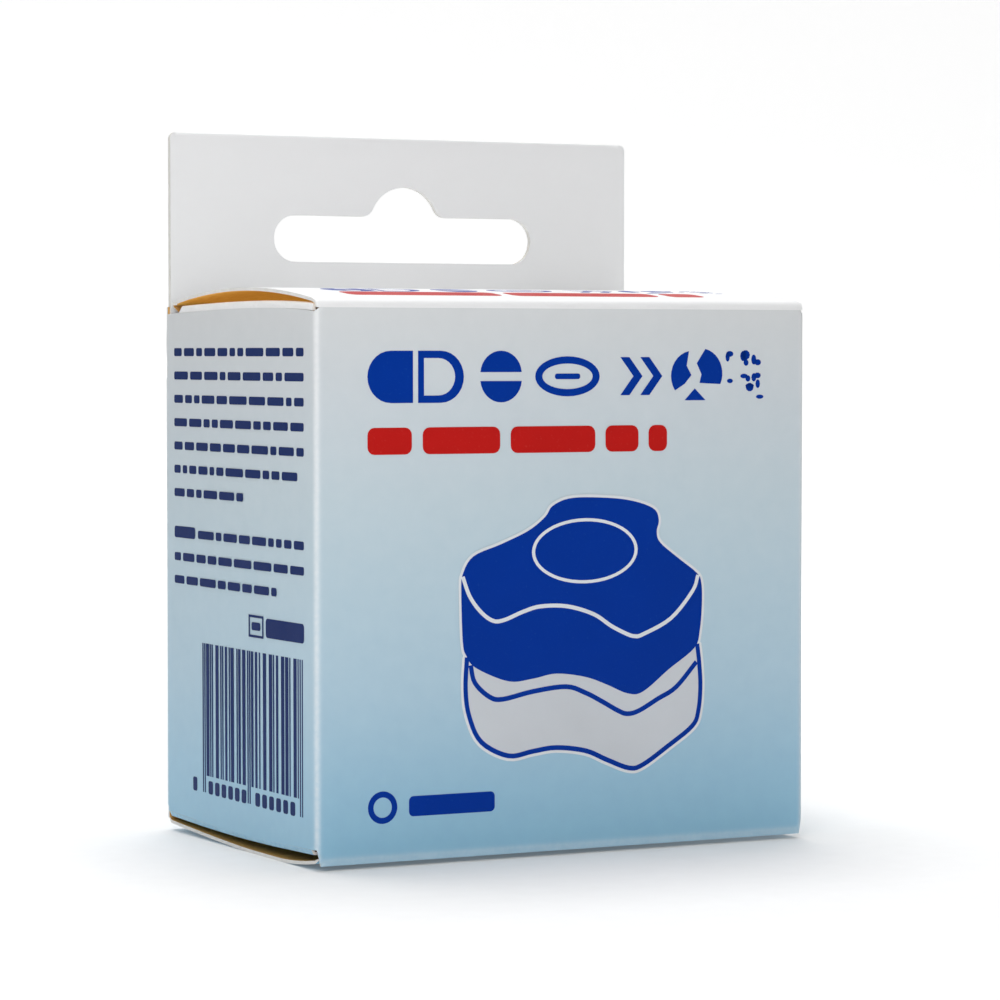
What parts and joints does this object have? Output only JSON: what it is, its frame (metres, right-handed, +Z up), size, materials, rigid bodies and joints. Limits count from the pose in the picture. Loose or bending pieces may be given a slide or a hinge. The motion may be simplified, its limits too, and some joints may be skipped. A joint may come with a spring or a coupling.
{
  "type": "boxed pill crusher",
  "caption": "Screw-type pill crusher with lobed cap and ribbed stamp, in a folding carton with hinged lid and hang header.",
  "frame": {"origin": "under the middle of the carton, at the height of the surface that it stands on", "axes": "+X to the right along the printed front, +Y from the front to the rear, +Z up"},
  "size_m": [0.07, 0.047, 0.0921],
  "materials": {
    "printed_board": "satin coated print",
    "white_board": "satin coated white",
    "kraft_board": "uncoated kraft",
    "base_plastic": "satin moulded",
    "cup_plastic": "satin moulded",
    "stamp_plastic": "satin moulded",
    "cap_plastic": "satin moulded",
    "disc_plastic": "satin moulded",
    "steel": "brushed"
  },
  "bodies": {
    "carton": {"front_panel": "printed_board", "left_panel": "printed_board", "right_panel": "printed_board", "rear_panel": "printed_board", "header_front_ply": "white_board", "glue_flap": "kraft_board", "bottom_panel": "printed_board", "bottom_tuck_flap": "kraft_board", "bottom_dust_flap_left": "kraft_board", "bottom_dust_flap_right": "kraft_board"},
    "lid": {"lid_panel": "white_board"},
    "lid_tuck": {"lid_tuck_flap": "white_board"},
    "dust_left": {"dust_flap_left": "kraft_board"},
    "dust_right": {"dust_flap_right": "kraft_board"},
    "crusher": {"base_shell": "base_plastic", "base_floor": "base_plastic", "crush_cup": "cup_plastic"},
    "stamp": {"stamp_plate": "stamp_plastic", "stamp_stem": "stamp_plastic"},
    "cap": {"cap_shell": "cap_plastic", "cap_disc": "disc_plastic", "thread_sleeve": "cup_plastic", "stamp_pin": "steel", "retaining_ring": "steel"}
  },
  "joints": [
    {"name": "lid_open", "type": "hinge", "parent": "carton", "child": "lid", "pos_m": [0, -0.0235, 0.06905], "axis": [1, 0, 0], "range_deg": [0, 170]},
    {"name": "lid_tuck_fold", "type": "hinge", "parent": "lid", "child": "lid_tuck", "pos_m": [0, 0.0219, 0.0691], "axis": [1, 0, 0], "range_deg": [0, 51.1]},
    {"name": "dust_left_open", "type": "hinge", "parent": "carton", "child": "dust_left", "pos_m": [-0.035, 0, 0.06845], "axis": [0, -1, 0], "range_deg": [0, 127.6]},
    {"name": "dust_right_open", "type": "hinge", "parent": "carton", "child": "dust_right", "pos_m": [0.035, 0, 0.06845], "axis": [0, 1, 0], "range_deg": [0, 127.6]},
    {"name": "crusher_lift", "type": "slide", "parent": "carton", "child": "crusher", "axis": [0, 0, 1], "range_m": [0, 0.07]},
    {"name": "cap_rise", "type": "slide", "parent": "crusher", "child": "stamp", "axis": [0, -1, 0], "range_m": [0, 0.00801]},
    {"name": "cap_turn", "type": "hinge", "parent": "stamp", "child": "cap", "pos_m": [0, 0.0223, 0.0307], "axis": [0, -1, 0], "range_deg": [0, 360]}
  ],
  "couplings": [
    {"joint": "lid_open", "follows": "crusher_lift", "rad_per_m": 42.386},
    {"joint": "lid_tuck_fold", "follows": "crusher_lift", "rad_per_m": 12.74},
    {"joint": "dust_left_open", "follows": "crusher_lift", "rad_per_m": 31.81},
    {"joint": "dust_right_open", "follows": "crusher_lift", "rad_per_m": 31.81},
    {"joint": "cap_rise", "follows": "cap_turn", "m_per_rad": 0.0012732}
  ]
}
